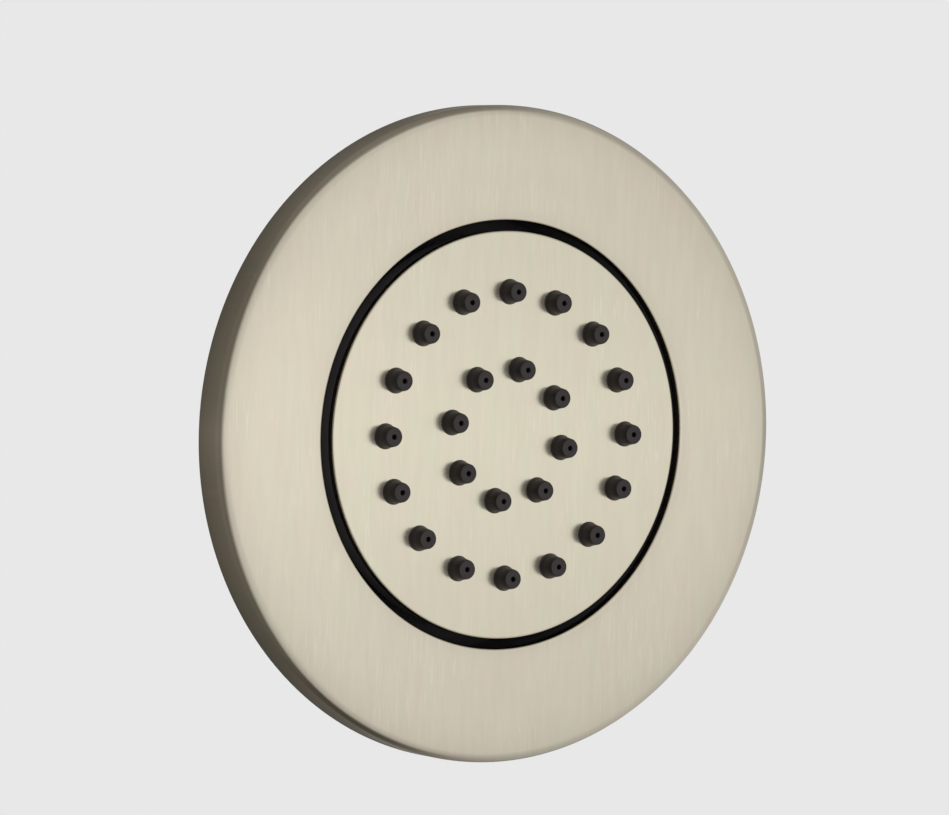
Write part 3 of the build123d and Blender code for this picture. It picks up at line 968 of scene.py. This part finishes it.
# Azimuth, elevation, distance, size and glow
SOFTBOXES = {
    "key_softbox": (14, 0, 1.3, 1.0, 0.3),
    "top_softbox": (20, 62, 1.4, 0.8, 0.5),
    "rear_softbox": (170, 35, 1.1, 0.7, 2.2),
    "fill_softbox": (-33, 3, 1.0, 0.12, 80),
}

TENT_R = 0.5
TENT_TINT = (1.0, 0.985, 0.965)
TENT_SHADE = (1.07, 0.98, 0.86)
TENT_SHADE_LEVELS = (0.1, 0.5)
# Brightness round the object: (azimuth, level)
TENT_ROUND = [
    (-180, 0.12), (-145, 0.17), (-120, 0.20), (-95, 0.22), (-78, 0.18), (-66, 0.19),
    (-57, 0.32), (-48, 0.62), (-38, 0.84), (-28, 0.93), (-10, 0.97), (8, 1.02),
    (18, 1.05), (24, 1.04), (28, 1.02), (33, 1.04), (38, 0.965), (42, 0.865),
    (50, 0.82), (70, 0.74), (105, 0.70), (135, 0.40), (160, 0.14), (180, 0.12),
]
# Brightness from below to above: (elevation, level)
TENT_RISE = [
    (-90, 0.11), (-82, 0.15), (-74, 0.34), (-66, 0.60), (-55, 0.66), (-44, 0.74),
    (-30, 0.84), (-20, 0.89), (-14, 0.89), (-11, 0.89), (-8, 0.98), (-6, 1.055),
    (-4, 1.10), (-2, 1.15), (0, 1.085), (2, 1.015), (4, 0.955), (9, 0.955), (15, 0.90),
    (25, 0.86), (48, 0.83), (55, 0.68), (62, 0.42), (72, 0.30), (90, 0.26),
]
# The same to the object's right, past these azimuths, where the front light does not reach
TENT_SIDE_STARTS = (42, 52)
TENT_SIDE = [
    (-90, 0.11), (-82, 0.15), (-74, 0.36), (-66, 0.66), (-55, 0.78), (-44, 0.88),
    (-30, 1.0), (-16, 1.0), (-8, 0.84), (-2, 0.74), (5, 0.90), (20, 0.90),
    (32, 0.74), (48, 0.72), (62, 0.42), (90, 0.26),
]
# Least brightness from below to above, on the dim side
TENT_DIM = [
    (-90, 0.08), (-50, 0.085), (-30, 0.11), (-12, 0.14), (25, 0.135),
    (40, 0.165), (55, 0.22), (75, 0.25), (90, 0.26),
]


def compass(azimuth, elevation, distance):
    """Place seen from the object."""
    turn, rise = math.radians(azimuth), math.radians(elevation)
    return Vector(
        (math.sin(turn) * math.cos(rise), -math.cos(turn) * math.cos(rise), math.sin(rise))
    ) * distance


def softbox(name, azimuth, elevation, distance, size, glow):
    """Square lamp that faces the object; glow is how bright its surface is.

    The tent stands for its mirror image.
    """
    place = compass(azimuth, elevation, distance)
    bpy.ops.object.light_add(type="AREA", location=place)
    lamp = bpy.context.object
    lamp.name = name
    lamp.rotation_euler = place.to_track_quat("Z", "Y").to_euler()
    lamp.data.shape = "SQUARE"
    lamp.data.size = size
    lamp.data.energy = glow * math.pi * size * size
    lamp.visible_camera = False
    lamp.visible_glossy = False


def make_tent():
    """Graded light tent round the object, seen only in its reflections."""
    bpy.ops.object.select_all(action="DESELECT")
    bpy.ops.mesh.primitive_uv_sphere_add(segments=96, ring_count=48, radius=TENT_R)
    tent = bpy.context.object
    tent.name = "light_tent"
    finish, tree = bare_finish("tent_cloth")
    parts = parts_of(tree, put(tree, "ShaderNodeTexCoord").outputs["Object"])
    ahead = sums(tree, "MULTIPLY", parts["Y"], -1.0)
    azimuth = sums(tree, "ARCTAN2", parts["X"], ahead)
    rise = sums(tree, "ARCSINE", sums(tree, "DIVIDE", parts["Z"], TENT_R))
    side_start, side_full = TENT_SIDE_STARTS
    aside = spread(tree, azimuth, 0.0, 1.0, side_start * DEGREE, side_full * DEGREE)
    ahead_level = graded(tree, rise, TENT_RISE, DEGREE)
    aside_level = graded(tree, rise, TENT_SIDE, DEGREE)
    upright = between(tree, aside, ahead_level, aside_level)
    lit = sums(tree, "MULTIPLY", graded(tree, azimuth, TENT_ROUND, DEGREE), upright)
    level = sums(tree, "MAXIMUM", lit, graded(tree, rise, TENT_DIM, DEGREE))
    colour = blend(tree, spread(tree, level, 0.0, 1.0, *TENT_SHADE_LEVELS), TENT_SHADE, TENT_TINT)
    glow = put(tree, "ShaderNodeEmission", {"Color": colour, "Strength": level}).outputs[0]
    put(tree, "ShaderNodeOutputMaterial", {"Surface": glow})
    tent.data.materials.append(finish)
    tent.visible_camera = False
    tent.visible_diffuse = False
    tent.visible_transmission = False
    tent.visible_volume_scatter = False
    tent.visible_shadow = False


def make_floor():
    """Pale floor that fades into the surroundings."""
    bpy.ops.object.select_all(action="DESELECT")
    bpy.ops.mesh.primitive_circle_add(
        vertices=96, radius=FLOOR_R, fill_type="NGON", location=(0, 0, FLOOR_Z)
    )
    floor = bpy.context.object
    floor.name = "floor"
    bpy.ops.object.transform_apply(location=True)
    finish, tree = bare_finish("pale_floor")
    place = put(tree, "ShaderNodeTexCoord").outputs["Object"]
    flat = put(tree, "ShaderNodeVectorMath", {0: place, 1: (1, 1, 0)}, operation="MULTIPLY")
    fade_start, fade_end = FLOOR_FADE
    fade = put(
        tree,
        "ShaderNodeMapRange",
        {
            "Value": length_of(tree, flat.outputs[0]),
            "From Min": fade_start,
            "From Max": fade_end,
        },
        interpolation_type="SMOOTHSTEP",
    ).outputs[0]
    tone = (FLOOR_TONE, FLOOR_TONE, FLOOR_TONE, 1.0)
    paint = put(tree, "ShaderNodeBsdfDiffuse", {"Color": tone}).outputs[0]
    clear = put(tree, "ShaderNodeBsdfTransparent").outputs[0]
    mix = put(tree, "ShaderNodeMixShader", {0: fade, 1: paint, 2: clear}).outputs[0]
    put(tree, "ShaderNodeOutputMaterial", {"Surface": mix})
    floor.data.materials.append(finish)
    floor.visible_glossy = False


def make_surroundings():
    """Pale background for the eye and for reflections, and an even light on everything else."""
    world = bpy.data.worlds.new("studio")
    bpy.context.scene.world = world
    world.use_nodes = True
    tree = world.node_tree
    tree.nodes.clear()
    path = put(tree, "ShaderNodeLightPath").outputs
    seen = sums(tree, "MAXIMUM", path["Is Camera Ray"], path["Is Glossy Ray"])
    seen = sums(tree, "MAXIMUM", seen, path["Is Transmission Ray"])
    tone = (BACKGROUND, BACKGROUND, BACKGROUND, 1.0)
    pale = put(tree, "ShaderNodeBackground", {"Color": tone, "Strength": 1.0})
    white = (1.0, 1.0, 1.0, 1.0)
    light = put(tree, "ShaderNodeBackground", {"Color": white, "Strength": DAYLIGHT})
    mix = put(tree, "ShaderNodeMixShader", {0: seen, 1: light.outputs[0], 2: pale.outputs[0]})
    put(tree, "ShaderNodeOutputWorld", {"Surface": mix.outputs[0]})


make_floor()
make_surroundings()
make_tent()
for name, values in SOFTBOXES.items():
    softbox(name, *values)

# Camera: a long lens from the left and slightly above, a little off level
AZIMUTH = -33.15
ELEVATION = 2.30
ROLL = math.radians(1.143)
LENS = 186.15
SENSOR_W = 36
DISTANCE = 0.900
AIM_RIGHT = -1.40
AIM_UP = 4.65
back = compass(AZIMUTH, ELEVATION, 1.0)
turned_view = (-back).to_track_quat("-Z", "Y") @ Quaternion((0, 0, 1), ROLL)
aim = turned_view @ Vector((AIM_RIGHT, AIM_UP, 0)) * MM
bpy.ops.object.camera_add(location=aim + back * DISTANCE)
camera = bpy.context.object
camera.rotation_euler = turned_view.to_euler()
camera.data.lens = LENS
camera.data.sensor_width = SENSOR_W
camera.data.clip_start = 0.01
bpy.context.scene.camera = camera
bpy.context.scene.view_settings.view_transform = "Standard"
